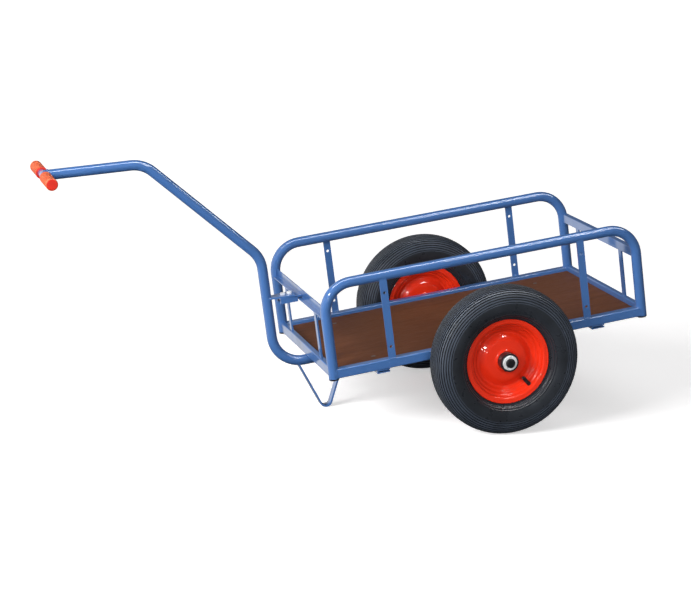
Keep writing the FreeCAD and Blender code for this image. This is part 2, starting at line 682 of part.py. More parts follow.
def wheel(side, turn):
    """Tyre, inner tube, rim, hub, two bearings and valve; drawn for the right wheel, turned for the left."""
    name = side.title()
    offset = f"{SIDES[side]} * wheel_spread"

    def place(item, label, extra=Placement()):
        settle(item, f"{label}_{side}")
        local = Placement(Vector(0, value(offset), 0), turn).multiply(extra)
        item.Placement = STANDING.multiply(local)

    tread, belly, seat = "tyre_diameter / 2", "tyre_width / 2", "( seat_diameter / 2 + running_fit )"
    bead = "( rim_width / 2 - rim_wall - running_fit )"
    outside = [("0", tread), (f"{belly} - 22", f"{tread} - 2.5"), (f"{belly} - 8", f"{tread} - 10"),
               (f"{belly} - 2", f"{tread} - 25"), (belly, f"{tread} - 42"), (f"{belly} - 5", f"{tread} - 62"),
               (f"{bead} + 3", "flange_diameter / 2 + 4"), (bead, "flange_diameter / 2"), (bead, seat)]
    inside = [(f"{bead} - 9", seat), (f"{bead} - 3", "flange_diameter / 2 + 6"),
              (f"{belly} - 12", f"{tread} - 60"), (f"{belly} - 7", f"{tread} - 42"),
              (f"{belly} - 10", f"{tread} - 25"), (f"{belly} - 18", f"{tread} - 13"), ("0", f"{tread} - 10")]
    mirrored = [(f"-1 * ( {y} )", r) for y, r in reversed(inside[:-1])]
    outer_mirror = [(f"-1 * ( {y} )", r) for y, r in reversed(outside[1:])]
    place(turned_ring("Tyre" + name, outside + inside + mirrored + outer_mirror), "tyre")

    upright = Placement(Vector(), Rotation(Vector(1, 0, 0), 90))
    air, skin = (doc.addObject("Part::Torus", f"{kind}{name}") for kind in ("TubeAir", "TubeSkin"))
    for torus, wall in ((skin, 0), (air, 2)):
        torus.setExpression("Radius1", bind("tyre_diameter / 2 - 50"))
        torus.setExpression("Radius2", bind(f"36 - {wall}"))
    inner_tube = doc.addObject("Part::Cut", "InnerTube" + name)
    inner_tube.Base, inner_tube.Tool = skin, air
    place(inner_tube, "inner_tube", upright)

    edge, wall, centre = "rim_width / 2", "rim_wall", "hub_diameter / 2"
    flange, ledge, well = "flange_diameter / 2", "seat_diameter / 2", "well_diameter / 2"
    tyre_side = [(edge, flange), (f"{edge} - {wall}", flange), (f"{edge} - {wall}", ledge),
                 (f"{edge} - 14", ledge), (f"{edge} - 25", well)]
    dish = [(f"{edge} - 24", f"{well} - {wall}"), (wall, f"{well} - 7"), (wall, f"{well} - 16"),
            ("dome_rise - 8", f"{well} - 24"), ("dome_rise - 3.5", f"{well} - 38"),
            ("dome_rise", f"{well} - 52"), ("dome_rise", centre)]
    cavity = [(f"dome_rise - {wall}", centre), (f"dome_rise - {wall}", f"{well} - 52"),
              (f"dome_rise - 3.5 - {wall}", f"{well} - 39"), (f"dome_rise - 8 - {wall}", f"{well} - 25.5"),
              ("0", f"{well} - 22")]
    outer_face = [(edge, f"{ledge} + 1"), (f"{edge} - 3", f"{ledge} - {wall}"),
                  (f"{edge} - 13", f"{ledge} - {wall}")]
    half_section = outer_face + dish + cavity
    mirrored = [(f"-1 * ( {y} )", r) for y, r in reversed(half_section[:-1])]
    far_tyre_side = [(f"-1 * ( {y} )", r) for y, r in tyre_side]
    place(turned_ring("Rim" + name, half_section + mirrored + far_tyre_side + tyre_side[::-1]), "rim")

    half, pocket = "hub_length / 2", "bearing_length"
    seat_radius, bore = "bearing_diameter / 2", "bearing_diameter / 2 - 3"
    section = [(f"-1 * {half}", seat_radius), (f"{pocket} - {half}", seat_radius),
               (f"{pocket} - {half}", bore), (f"{half} - {pocket}", bore),
               (f"{half} - {pocket}", seat_radius), (half, seat_radius), (half, "hub_diameter / 2"),
               (f"-1 * {half}", "hub_diameter / 2")]
    place(turned_ring("Hub" + name, section), "hub")
    for where, start in (("inner", f"-1 * {half}"), ("outer", f"{half} - {pocket}")):
        ring = plain_ring(f"Bearing{where.title()}{name}", "axle_diameter / 2 + running_fit", seat_radius,
                          pocket)
        place(ring, f"bearing_{where}", Placement(Vector(0, value(start), 0), Rotation()))

    stem = doc.addObject("Part::Cylinder", "ValveStem" + name)
    stem.Radius = 4.5
    stem.Height = 22
    tip = doc.addObject("Part::Cone", "ValveTip" + name)
    tip.Radius1, tip.Radius2, tip.Height = 4.5, 3.2, 8
    tip.Placement.Base.z = 22
    valve = doc.addObject("Part::Fuse", "Valve" + name)
    valve.Base, valve.Tool = stem, tip
    direction = Vector(-0.7, 0, -0.709)
    root = direction * (value(well) - value("rim_wall") - 1.7) + Vector(0, 8, 0)
    inwards = Rotation(Vector(0, 0, 1), Vector(-direction.x, 0.25, -direction.z))
    place(valve, "valve", Placement(root, inwards))


# ---------------------------------------------------------------- the cart

for side, sign in SIDES.items():
    side_tube(side, sign)
    side_rail(side, sign)
    axle_bracket(side, sign)
    grip(side)
    facing = HALF_TURN if side == "left" else Rotation()
    axle_fittings(side, facing)
    wheel(side, facing)
    for end, end_sign in ENDS.items():
        leg_cap(end, side, sign)
        side_upright(end, side, end_sign, sign)
        end_upright(end, side, end_sign, sign)
for end, end_sign in ENDS.items():
    end_top_rail(end, end_sign)
    end_bottom_rail(end)
    cross_member(end)
platform_board()
board_screws()
drawbar()
handle_crossbar()
drawbar_plate()
frame_lug()
drawbar_bolts()
prop()
axle()

doc.recompute()
for item in doc.Objects:
    if {"Invalid", "Error"} & set(item.State):
        raise RuntimeError(f"{item.Label}: {item.State}")
for item in parts:
    if item.Shape.isNull() or not item.Shape.isValid():
        raise RuntimeError(f"{item.Label}: bad shape")

os.makedirs("parts", exist_ok=True)
for item in parts:
    item.Shape.exportStep(f"parts/{item.Label}.step")
print(len(parts), "sub-parts written")
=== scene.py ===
import math
import random

import bmesh
import bpy
from mathutils import Matrix, Vector


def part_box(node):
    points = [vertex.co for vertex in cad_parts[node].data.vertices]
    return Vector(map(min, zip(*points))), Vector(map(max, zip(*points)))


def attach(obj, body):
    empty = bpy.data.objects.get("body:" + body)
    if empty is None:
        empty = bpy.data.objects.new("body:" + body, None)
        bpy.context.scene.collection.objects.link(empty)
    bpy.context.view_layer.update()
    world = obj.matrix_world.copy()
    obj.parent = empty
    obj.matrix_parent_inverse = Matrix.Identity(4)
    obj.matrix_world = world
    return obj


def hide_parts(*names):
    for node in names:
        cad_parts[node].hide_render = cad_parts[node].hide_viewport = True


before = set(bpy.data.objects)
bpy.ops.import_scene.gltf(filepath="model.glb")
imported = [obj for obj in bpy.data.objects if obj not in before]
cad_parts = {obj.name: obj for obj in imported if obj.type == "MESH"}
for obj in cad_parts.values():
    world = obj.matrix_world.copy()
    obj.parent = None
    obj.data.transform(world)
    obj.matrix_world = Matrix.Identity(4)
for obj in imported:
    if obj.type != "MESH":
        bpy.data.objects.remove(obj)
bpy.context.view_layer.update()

# ---------------------------------------------------------------- places on the cart

MM = 0.001
SIDES = {"left": -1, "right": 1}
STAND_TILT = math.radians(8.5)      # lean of the deck on the cart's wheels and prop
axle_low, axle_high = (Vector(corner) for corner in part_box("axle"))
AXLE = (axle_low + axle_high) / 2
WHEEL_SPREAD = 344 * MM             # cart's middle to the middle of each tyre
FRONT_LEG, REAR_LEG = -445, 431     # along the deck from the axle, in millimetres
HALF_FRAME = 265
TILTED = Matrix.Translation(AXLE) @ Matrix.Rotation(-STAND_TILT, 4, "Y")


def cart(x, y, z):
    """A point given in millimetres from the axle's middle, along and square to the deck."""
    return TILTED @ Vector((x * MM, y * MM, z * MM))


def wheel_centre(side):
    return Vector((AXLE.x, SIDES[side] * WHEEL_SPREAD, AXLE.z))


# ---------------------------------------------------------------- material helpers

def srgb(red, green, blue):
    """A colour given as 0-255 screen values, as linear light."""
    channels = [c / 255 for c in (red, green, blue)]
    return tuple(c / 12.92 if c <= 0.04045 else ((c + 0.055) / 1.055) ** 2.4 for c in channels) + (1.0,)


class Surface:
    """A node material around one Principled shader, with short calls for its usual nodes."""

    def __init__(self, name, color, roughness, metallic=0.0, coat=0.0, coat_roughness=0.05, specular=0.5):
        self.material = bpy.data.materials.new(name)
        self.material.use_nodes = True
        self.tree = self.material.node_tree
        self.shader = self.tree.nodes["Principled BSDF"]
        self.set("Base Color", color)
        self.set("Roughness", roughness)
        self.set("Metallic", metallic)
        self.set("Coat Weight", coat)
        self.set("Coat Roughness", coat_roughness)
        self.set("Specular IOR Level", specular)
        self.place = self.tree.nodes.new("ShaderNodeTexCoord").outputs["Object"]

    def set(self, socket, value):
        self.shader.inputs[socket].default_value = value

    def link(self, source, target):
        self.tree.links.new(source, target)

    def stretched(self, x, y, z, turn=0.0):
        """The object coordinates, scaled along each axis after a turn about Y."""
        node = self.tree.nodes.new("ShaderNodeMapping")
        node.inputs["Scale"].default_value = (x, y, z)
        node.inputs["Rotation"].default_value = (0, turn, 0)
        self.link(self.place, node.inputs["Vector"])
        return node.outputs["Vector"]

    def noise(self, scale, detail=3.0, roughness=0.5, place=None):
        node = self.tree.nodes.new("ShaderNodeTexNoise")
        node.inputs["Scale"].default_value = scale
        node.inputs["Detail"].default_value = detail
        node.inputs["Roughness"].default_value = roughness
        self.link(place or self.place, node.inputs["Vector"])
        return node.outputs["Fac"]

    def spread(self, source, low, high, low_in=0.3, high_in=0.7):
        """The source stretched from one range to another, and clamped."""
        node = self.tree.nodes.new("ShaderNodeMapRange")
        ranges = {"From Min": low_in, "From Max": high_in, "To Min": low, "To Max": high}
        for socket, number in ranges.items():
            node.inputs[socket].default_value = number
        self.link(source, node.inputs["Value"])
        return node.outputs["Result"]

    def blend(self, factor, first, second):
        node = self.tree.nodes.new("ShaderNodeMix")
        node.data_type = "RGBA"
        self.link(factor, node.inputs["Factor"])
        for socket, color in zip((node.inputs[6], node.inputs[7]), (first, second)):
            if isinstance(color, tuple):
                socket.default_value = color
            else:
                self.link(color, socket)
        return node.outputs[2]

    def bump(self, height, strength, distance):
        node = self.tree.nodes.new("ShaderNodeBump")
        node.inputs["Strength"].default_value = strength
        node.inputs["Distance"].default_value = distance
        self.link(height, node.inputs["Height"])
        previous = self.shader.inputs["Normal"].links
        if previous:
            self.link(previous[0].from_socket, node.inputs["Normal"])
        self.link(node.outputs["Normal"], self.shader.inputs["Normal"])

    def drive(self, socket, source):
        self.link(source, self.shader.inputs[socket])


def darker(color, factor):
    return tuple(c * factor for c in color[:3]) + (1.0,)


def enamel(name, color, wear_color):
    """Glossy brushed-on or dipped paint: slightly uneven gloss and orange peel, dull dust in places."""
    paint = Surface(name, color, 0.34, coat=1.0, coat_roughness=0.055, specular=0.12)
    patches = paint.spread(paint.noise(9, 4), 0.0, 1.0)
    tone = paint.blend(patches, color, darker(color, 0.93))
    specks = paint.spread(paint.noise(240, 2), 0.0, 1.0, 0.72, 0.78)
    paint.drive("Base Color", paint.blend(specks, tone, wear_color))
    paint.drive("Roughness", paint.spread(paint.noise(22, 3), 0.28, 0.4))
    paint.bump(paint.noise(420, 2), 0.1, 0.0002)
    paint.bump(paint.noise(38, 2), 0.02, 0.0006)
    return paint.material


def tyre_rubber(name, color, roughness, specular):
    """Black rubber with a faint grey bloom; the tread is duller than the sidewall, its lighter colour a
    painted sheen, and the grooves' darker colour painted shade.
    """
    rubber = Surface(name, color, roughness, specular=specular)
    bloom = rubber.spread(rubber.noise(14, 5, 0.6), 0.0, 1.0, 0.35, 0.75)
    rubber.drive("Base Color", rubber.blend(bloom, darker(color, 0.8), darker(color, 1.45)))
    rubber.drive("Roughness", rubber.spread(rubber.noise(60, 3), roughness * 0.85, roughness * 1.2))
    rubber.bump(rubber.noise(400, 1), 0.05, 0.0003)
    return rubber.material


def grip_rubber(name, color):
    rubber = Surface(name, color, 0.5, specular=0.45)
    tone = rubber.spread(rubber.noise(70, 4), 0.0, 1.0)
    rubber.drive("Base Color", rubber.blend(tone, color, darker(color, 0.82)))
    rubber.drive("Roughness", rubber.spread(rubber.noise(120, 3), 0.42, 0.6))
    rubber.bump(rubber.noise(1500, 2), 0.2, 0.0002)
    return rubber.material


def film_faced_board():
    """Brown phenolic film over veneer: the grain telegraphs through as long, faint streaks."""
    board = Surface("film_faced_board", srgb(98, 61, 42), 0.55, specular=0.1)
    along = board.stretched(1.2, 42, 42, STAND_TILT)
    fine = board.stretched(7, 260, 260, STAND_TILT)
    streaks = board.spread(board.noise(1.0, 5, 0.6, along), 0.0, 1.0)
    tone = board.blend(streaks, srgb(82, 48, 30), srgb(104, 64, 42))
    clouds = board.spread(board.noise(3.5, 3), 0.0, 1.0)
    board.drive("Base Color", board.blend(clouds, tone, srgb(90, 54, 35)))
    board.drive("Roughness", board.spread(board.noise(1.0, 4, 0.6, fine), 0.48, 0.64))
    board.bump(board.noise(1.0, 3, 0.6, fine), 0.18, 0.0003)
    return board.material


def zinc_plate(name, color, roughness):
    """Bright plated steel, turned or rolled: fine lines and a faintly cloudy tint."""
    zinc = Surface(name, color, roughness, metallic=0.4)
    clouds = zinc.spread(zinc.noise(45, 3), 0.0, 1.0)
    zinc.drive("Base Color", zinc.blend(clouds, color, darker(color, 0.88)))
    zinc.drive("Roughness", zinc.spread(zinc.noise(160, 3), roughness * 0.8, roughness * 1.4))
    zinc.bump(zinc.noise(1.0, 2, 0.5, zinc.stretched(300, 2500, 300)), 0.04, 0.0001)
    return zinc.material


def moulded(name, color, roughness):
    plastic = Surface(name, color, roughness)
    shade = plastic.spread(plastic.noise(50, 3), 0.0, 1.0)
    plastic.drive("Base Color", plastic.blend(shade, color, darker(color, 0.7)))
    plastic.drive("Roughness", plastic.spread(plastic.noise(90, 3), roughness * 0.85, roughness * 1.2))
    plastic.bump(plastic.noise(1100, 2), 0.15, 0.0002)
    return plastic.material


BLUE = enamel("blue_enamel", srgb(62, 100, 155), srgb(84, 120, 170))
RED = enamel("red_enamel", srgb(222, 46, 20), srgb(230, 66, 34))
BLACK = enamel("black_enamel", srgb(26, 27, 30), srgb(44, 45, 48))
TYRE = tyre_rubber("tyre_rubber", srgb(34, 37, 42), 0.3, 0.4)
# lighter than the sidewall rubber: a painted sheen of light grazing the rib tops
TREAD = tyre_rubber("tread_rubber_painted_sheen", srgb(56, 63, 74), 0.5, 0.5)
# darker than the sidewall rubber: painted shade in the tread grooves
GROOVES_PAINTED_SHADE = tyre_rubber("groove_rubber_painted_shade", srgb(24, 26, 30), 0.6, 0.3)
BOARD = film_faced_board()
GRIP = grip_rubber("grip_rubber", srgb(205, 96, 52))
# darker than the grip rubber: painted shade in the knurl grooves
GRIP_GROOVE_PAINTED_SHADE = grip_rubber("grip_groove_rubber", srgb(160, 56, 30))
GRIP_END = grip_rubber("grip_end_rubber", srgb(196, 34, 16))
VALVE = moulded("valve_rubber", srgb(24, 24, 26), 0.5)
PLASTIC = moulded("cap_plastic", srgb(20, 20, 22), 0.42)
ZINC = zinc_plate("zinc_plate", (0.92, 0.93, 0.94, 1.0), 0.3)
DULL_STEEL = zinc_plate("dull_steel", (0.10, 0.085, 0.075, 1.0), 0.5)
STEEL = zinc_plate("bright_steel", (0.55, 0.55, 0.56, 1.0), 0.3)

# ---------------------------------------------------------------- mesh helpers

SHARP = math.radians(32)


def finish_piece(name, mesh, body, materials, replaced=(), sharp=SHARP):
    """Turns a mesh in the row frame into a piece that rides on a CAD body."""
    mesh.validate()
    mesh.shade_smooth()
    mesh.set_sharp_from_angle(angle=sharp)
    for material in materials:
        mesh.materials.append(material)
    piece = bpy.data.objects.new(name, mesh)
    bpy.context.scene.collection.objects.link(piece)
    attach(piece, body)
    if replaced:
        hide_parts(*replaced)
    return piece


def mesh_from(bm, name):
    bmesh.ops.recalc_face_normals(bm, faces=bm.faces)
    mesh = bpy.data.meshes.new(name)
    bm.to_mesh(mesh)
    bm.free()
    return mesh


def flowing(points, steps=5):
    """A smooth open curve through the points."""
    first = tuple(2 * a - b for a, b in zip(points[0], points[1]))
    last = tuple(2 * a - b for a, b in zip(points[-1], points[-2]))
    padded = [first, *points, last]
    curve = []
    for a, b, c, d in zip(padded, padded[1:], padded[2:], padded[3:]):
        for step in range(steps):
            t = step / steps
            curve.append(tuple(
                0.5 * (2 * q + (r - p) * t + (2 * p - 5 * q + 4 * r - s) * t * t
                       + (3 * q - p - 3 * r + s) * t ** 3)
                for p, q, r, s in zip(a, b, c, d)))
    curve.append(tuple(points[-1]))
    return curve


def lathe(bm, outline, centre, outwards, segments, closed=True, shape=None, finishes=None):
    """Turns an outline of (y, radius) in millimetres about the wheel axis; y counts towards outwards.

    finishes holds the material index of the band that follows each point of the outline."""
    rings = []
    for k in range(segments):
        angle = 2 * math.pi * k / segments
        ring = []
        for index, (y, radius) in enumerate(outline):
            if shape:
                y, radius = shape(index, k, y, radius)
            offset = Vector((radius * math.cos(angle), outwards * y, radius * math.sin(angle)))
            ring.append(bm.verts.new(centre + offset * MM))
        rings.append(ring)
    count = len(outline)
    for k in range(segments):
        one, two = rings[k], rings[(k + 1) % segments]
        for j in range(count if closed else count - 1):
            following = (j + 1) % count
            face = bm.faces.new((one[j], two[j], two[following], one[following]))
            face.material_index = finishes[j] if finishes else 0
    return rings


def tube_along(bm, points, radii, sides=10):
    """A round rod through points in the row frame, with a radius at each, closed at both ends."""
    rings = []
    count = len(points)
    side = None
    for k, point in enumerate(points):
        ahead = (points[min(k + 1, count - 1)] - points[max(k - 1, 0)]).normalized()
        side = ahead.orthogonal() if side is None else side - ahead * side.dot(ahead)
        side.normalize()
        other = ahead.cross(side)
        angles = [2 * math.pi * j / sides for j in range(sides)]
        rings.append([bm.verts.new(point + (side * math.cos(a) + other * math.sin(a)) * radii[k])
                      for a in angles])
    for one, two in zip(rings, rings[1:]):
        for j in range(sides):
            bm.faces.new((one[j], one[(j + 1) % sides], two[(j + 1) % sides], two[j]))
    bm.faces.new(rings[0][::-1])
    bm.faces.new(rings[-1])


# ---------------------------------------------------------------- finishes of the CAD nodes

CAD_FINISH = {
    BLUE: ("side_tube", "side_rail", "side_upright", "front_top_rail", "rear_top_rail",
           "front_bottom_rail", "rear_bottom_rail", "end_upright", "cross_member", "drawbar",
           "handle_crossbar", "frame_lug", "prop", "axle_bracket"),
    ZINC: ("drawbar_bolts", "drawbar_nuts", "hub_washer", "board_screws"),
    STEEL: ("axle_spacer", "bearing", "axle"),
    BLACK: ("hub_left", "hub_right"),
    BOARD: ("platform_board",),
    PLASTIC: ("leg_cap", "axle_cap"),
    TYRE: ("inner_tube", "tyre"),
    RED: ("rim",),
    GRIP: ("grip",),
    VALVE: ("valve",),
}
PREFIX_FINISH = sorted(((prefix, finish) for finish, names in CAD_FINISH.items() for prefix in names),
                       key=lambda pair: -len(pair[0]))
SOFT_EDGES = {                      # radius in millimetres, by the start of the node's name
    "side_rail": 1.6, "front_bottom_rail": 1.6, "rear_bottom_rail": 1.6, "side_upright": 0.7,
    "end_upright": 0.7, "front_top_rail": 0.8, "rear_top_rail": 0.8, "cross_member": 0.6,
    "drawbar_plate": 0.6, "frame_lug": 0.9, "prop": 0.7, "axle_bracket": 1.2,
    "drawbar_bolts": 0.7, "drawbar_nuts": 0.5, "hub": 1.0, "platform_board": 0.6,
    "axle_spacer": 0.6, "bearing": 0.5,
}


def soften_edges(piece, radius):
    """Rounds a CAD node's sharp edges, as a rolled or deburred edge catches the light."""
    weld = piece.modifiers.new("Join", "WELD")
    weld.merge_threshold = 1e-6
    flat = piece.modifiers.new("Flat", "DECIMATE")      # one face for each flat of the CAD solid
    flat.decimate_type = "DISSOLVE"
    flat.angle_limit = math.radians(0.5)
    bevel = piece.modifiers.new("Round", "BEVEL")
    bevel.width = radius * MM
    bevel.segments = 3
    bevel.limit_method = "ANGLE"
    bevel.angle_limit = math.radians(40)
    bevel.harden_normals = True


for node_name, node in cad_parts.items():
    finish = next(material for prefix, material in PREFIX_FINISH if node_name.startswith(prefix))
    node.data.materials.clear()
    node.data.materials.append(finish)
    for prefix, radius in SOFT_EDGES.items():
        if node_name.startswith(prefix):
            soften_edges(node, radius)
            break

# ---------------------------------------------------------------- tyres

TYRE_SEGMENTS = 288
CROWN = [(0, 200), (20, 198.6), (35, 193), (44, 182), (48.6, 168), (50, 155), (48, 140),
         (42.5, 128), (36, 121.5), (31.5, 119)]
BEAD = [(31.5, 116.5), (27.2, 114.5), (27.2, 103), (20, 102.2), (18, 104)]
LINER = [(24, 121), (38, 141), (43, 158), (40, 175), (32, 187), (0, 190)]
RIB_PITCH = 6.6
RIBBED_LENGTH = 74                  # from the crown round the shoulder to the last groove
GROOVE_HALF = 1.5
GROOVE_DEPTH = 3.2
GROOVE_SHAPE = ((-1.4, 0), (-1, 0.25), (-0.6, 1), (0.6, 1), (1, 0.25), (1.4, 0))  # across and down
SIDEWALL_STEPS = 52
GUARD_RINGS = (131, 126, 121.5)     # thin raised rings near the rim
GUARD_HALF = 1.7
GUARD_HEIGHT = 1.3
TREAD_EDGE = 34                     # how far from the middle the cross cuts reach
NOTCH_DEPTH = 0.5
NOTCH_EVERY = 4                     # segments from one cross cut to the next
NOTCH_STAGGER = 2
SIDEWALL, RIB_TOP, GROOVE = 0, 1, 2 # the order of the tyre's finishes: sidewall, rib tops in painted sheen, grooves in painted shade


def along_curve(curve):
    """Distance along a curve at each of its points."""
    total, distances = 0.0, [0.0]
    for a, b in zip(curve, curve[1:]):
        total += math.dist(a, b)
        distances.append(total)
    return distances


def point_at(curve, distances, where):
    """The point and the inward direction at a distance along the crown curve."""
    k = max(i for i, d in enumerate(distances[:-1]) if d <= where)
    share = (where - distances[k]) / (distances[k + 1] - distances[k])
    (y0, r0), (y1, r1) = curve[k], curve[k + 1]
    length = math.dist(curve[k], curve[k + 1])
    inward = ((r1 - r0) / length, -(y1 - y0) / length)
    return (y0 + (y1 - y0) * share, r0 + (r1 - r0) * share), inward


def tyre_outline():
    """Half of the tyre's outer line from the crown to the bead.

    Each point is (y, radius, finish of the band that follows)."""
    curve = flowing(CROWN, 8)
    distances = along_curve(curve)
    line = []
    groove_count = int(RIBBED_LENGTH / RIB_PITCH)
    for groove in range(groove_count):
        middle = (groove + 0.5) * RIB_PITCH
        taper = 1 - 0.4 * groove / groove_count
        for offset, depth in GROOVE_SHAPE:
            (y, r), inward = point_at(curve, distances, middle + offset * GROOVE_HALF * taper)
            sunk = depth * GROOVE_DEPTH * taper
            line.append((y + inward[0] * sunk, r + inward[1] * sunk, RIB_TOP if offset > 1 else GROOVE))
    start = groove_count * RIB_PITCH
    end = distances[-1] - 0.001
    for step in range(SIDEWALL_STEPS + 1):
        (y, r), inward = point_at(curve, distances, start + (end - start) * step / SIDEWALL_STEPS)
        raised = max(max(0.0, 1 - abs(r - ring) / GUARD_HALF) for ring in GUARD_RINGS) * GUARD_HEIGHT
        line.append((y - inward[0] * raised, r - inward[1] * raised, SIDEWALL))
    return line


def build_tyre(side):
    half = tyre_outline()
    points = [(y, r) for y, r, _ in half]
    finishes = [finish for _, _, finish in half]
    inside = BEAD + flowing(LINER, 4)
    outline = points + inside + [(-y, r) for y, r in (points + inside[:-1])[::-1]]
    finishes += [SIDEWALL] * (2 * len(inside) - 1) + finishes[-2::-1] + [RIB_TOP]
    crown_points = sum(1 for y, r in points if y < TREAD_EDGE)

    def notch(index, k, y, radius):
        """Short cross cuts over the tread ribs, staggered from rib to rib."""
        from_crown = min(index, len(outline) - 1 - index)
        rib = from_crown // len(GROOVE_SHAPE)
        cut = (k + rib * NOTCH_STAGGER) % NOTCH_EVERY == 0
        if from_crown < crown_points and finishes[index] == RIB_TOP and cut:
            return y, radius - NOTCH_DEPTH
        return y, radius

    bm = bmesh.new()
    lathe(bm, outline, wheel_centre(side), SIDES[side], TYRE_SEGMENTS, shape=notch, finishes=finishes)
    # rib tops carry the tread colour as painted sheen, grooves the darker colour as painted shade
    finish_piece(f"ribbed_tyre_{side}", mesh_from(bm, "tyre"), f"wheel_{side}",
                 [TYRE, TREAD, GROOVES_PAINTED_SHADE], (f"tyre_{side}",))


# ---------------------------------------------------------------- rims

LIP = [(27.6, 103), (27.8, 110), (28.2, 112.9), (29.2, 114.2), (30.6, 113.6), (30.9, 112), (30.2, 109.5)]
DISH = [(30.0, 106), (29.0, 101.5), (26, 99), (22, 97.6), (19.5, 96.4), (18.6, 94), (16.5, 91.6),
        (12.5, 89.6), (10.2, 87.6), (9.4, 85), (8.0, 82.4), (4.6, 79.6), (2.0, 77), (1.1, 74.2),
        (1.5, 71.6), (3.8, 68), (7.2, 63.5), (10.2, 59), (12.2, 55), (13.4, 50), (14.1, 44),
        (14.6, 38), (15, 33), (15.8, 29.8), (17.6, 27.4), (18, 25.2)]
SEAT = [(27.6, 101.7), (17, 101.7), (9, 93), (5, 88.6), (0, 88)]
RIM_SEGMENTS = 144
HUB_WELD_Y, HUB_WELD_RADIUS = 18.4, 25.6
HUB_WELD_SEGMENTS = 96


def build_rim(side):
    face = flowing(LIP[1:] + DISH, 4)
    seat = flowing(SEAT[1:], 3)
    half = seat[::-1] + [SEAT[0], LIP[0]] + face
    mirrored = [(-y, r) for y, r in half[::-1]]
    outline = half + mirrored[:-1]
    bm = bmesh.new()
    lathe(bm, outline, wheel_centre(side), SIDES[side], RIM_SEGMENTS)
    mesh = mesh_from(bm, "rim")
    finish_piece(f"pressed_rim_{side}", mesh, f"wheel_{side}", [RED], (f"rim_{side}",))
    ripple = random.Random(5)
    for face_sign in (-1, 1):
        bm = bmesh.new()
        centre = wheel_centre(side) + Vector((0, SIDES[side] * face_sign * HUB_WELD_Y * MM, 0))
        count = HUB_WELD_SEGMENTS
        points = []
        for k in range(count + 1):
            angle = 2 * math.pi * k / count
            points.append(centre + Vector((math.cos(angle), 0, math.sin(angle))) * HUB_WELD_RADIUS * MM)
        radii = [(1.5 + 0.25 * math.sin(k * 2.1) + ripple.uniform(-0.1, 0.1)) * MM
                 for k in range(count + 1)]
        radii[-1] = radii[0]
        tube_along(bm, points, radii, 8)
        where = "outer" if face_sign > 0 else "inner"
        finish_piece(f"hub_weld_{where}_{side}", mesh_from(bm, "hub_weld"), f"wheel_{side}",
                     [RED])


# ---------------------------------------------------------------- valves

VALVE_TURN = Vector((0.7, 0, -0.714)).normalized()


def build_valve(side):
    """Rubber snap-in stem out of the rim's wall: shallow foot, ribbed neck, screwed-on dust cap."""
    along_rim = Vector((VALVE_TURN.x if side == "left" else -VALVE_TURN.x, 0, VALVE_TURN.z))
    outwards = Vector((0, SIDES[side], 0))
    root = wheel_centre(side) + along_rim * 95 * MM + outwards * 15.5 * MM
    direction = (-along_rim + outwards * 0.3).normalized()
    outline = [(-4, 5.2), (1, 6.6), (2.2, 6.4), (3.4, 5.4), (13, 4.9), (13.5, 4.2), (14.5, 4.2),
               (15, 5.0), (17.5, 5.0), (18, 4.1), (19, 4.1), (19.6, 5.1), (28, 5.0), (29.4, 4.4),
               (31.6, 3.6), (32.2, 2.4)]
    bm = bmesh.new()
    tube_along(bm, [root + direction * x * MM for x, _ in outline], [r * MM for _, r in outline], 20)
    finish_piece(f"snap_in_valve_{side}", mesh_from(bm, "valve"), f"wheel_{side}",
                 [VALVE], (f"valve_{side}",))


# ---------------------------------------------------------------- handle grips

GRIP_START, GRIP_END_Y, GRIP_SKIN, CROSSBAR_SKIN = 34, 146.5, 16, 11.05
KNURL_PITCH = 6.2
KNURL_DEPTH = 1.3
GRIP_SEGMENTS = 184


def build_grip(side):
    centre = cart(-1077, 0, 632)
    outline = [(GRIP_START, CROSSBAR_SKIN), (GRIP_START, 14.6), (GRIP_START + 0.6, 15.6),
               (GRIP_START + 1.6, 16), (GRIP_START + 4.6, 16), (GRIP_START + 5, 15.3)]
    knurl_start = len(outline)
    rows = 92
    knurl_from, knurl_to = GRIP_START + 5, GRIP_END_Y - 7
    outline += [(knurl_from + (knurl_to - knurl_from) * k / rows, GRIP_SKIN) for k in range(1, rows)]
    knurl_end = len(outline)
    outline += [(knurl_to, 15.3), (knurl_to + 0.4, 16), (GRIP_END_Y - 2.4, 16), (GRIP_END_Y - 1, 15.4),
                (GRIP_END_Y - 0.2, 14.2)]
    outline += [(GRIP_END_Y, 12.8), (GRIP_END_Y, 6), (GRIP_END_Y, 0.01)]
    per_turn = round(2 * math.pi * GRIP_SKIN / KNURL_PITCH)

    def knurl(index, k, y, radius):
        """Crossed shallow grooves that leave a grid of small diamonds."""
        if not knurl_start <= index < knurl_end:
            return y, radius
        around = per_turn * k / GRIP_SEGMENTS
        along = y / KNURL_PITCH
        cuts = [abs(((around + turn * along) % 1) * 2 - 1) for turn in (-1, 1)]
        return y, radius - KNURL_DEPTH * max(0.0, 1 - 2.2 * min(cuts))

    bm = bmesh.new()
    lathe(bm, outline, centre, SIDES[side], GRIP_SEGMENTS, closed=False, shape=knurl)
    bmesh.ops.remove_doubles(bm, verts=bm.verts, dist=2e-5)
    knurl_floor = GRIP_SKIN - 0.45 * KNURL_DEPTH
    for face in bm.faces:
        middle = face.calc_center_median()
        reach = abs(middle.y) / MM
        depth = Vector((middle.x - centre.x, middle.z - centre.z)).length / MM
        if reach > GRIP_END_Y - 0.35 or reach < GRIP_START + 5:
            face.material_index = 1
        elif knurl_from < reach < knurl_to and depth < knurl_floor:
            # faces sunk into the knurl grooves get the darker colour, a painted shade
            face.material_index = 2
    finish_piece(f"knurled_grip_{side}", mesh_from(bm, "grip"), "frame",
                 [GRIP, GRIP_END, GRIP_GROOVE_PAINTED_SHADE], (f"grip_{side}",))


# ---------------------------------------------------------------- deck screws

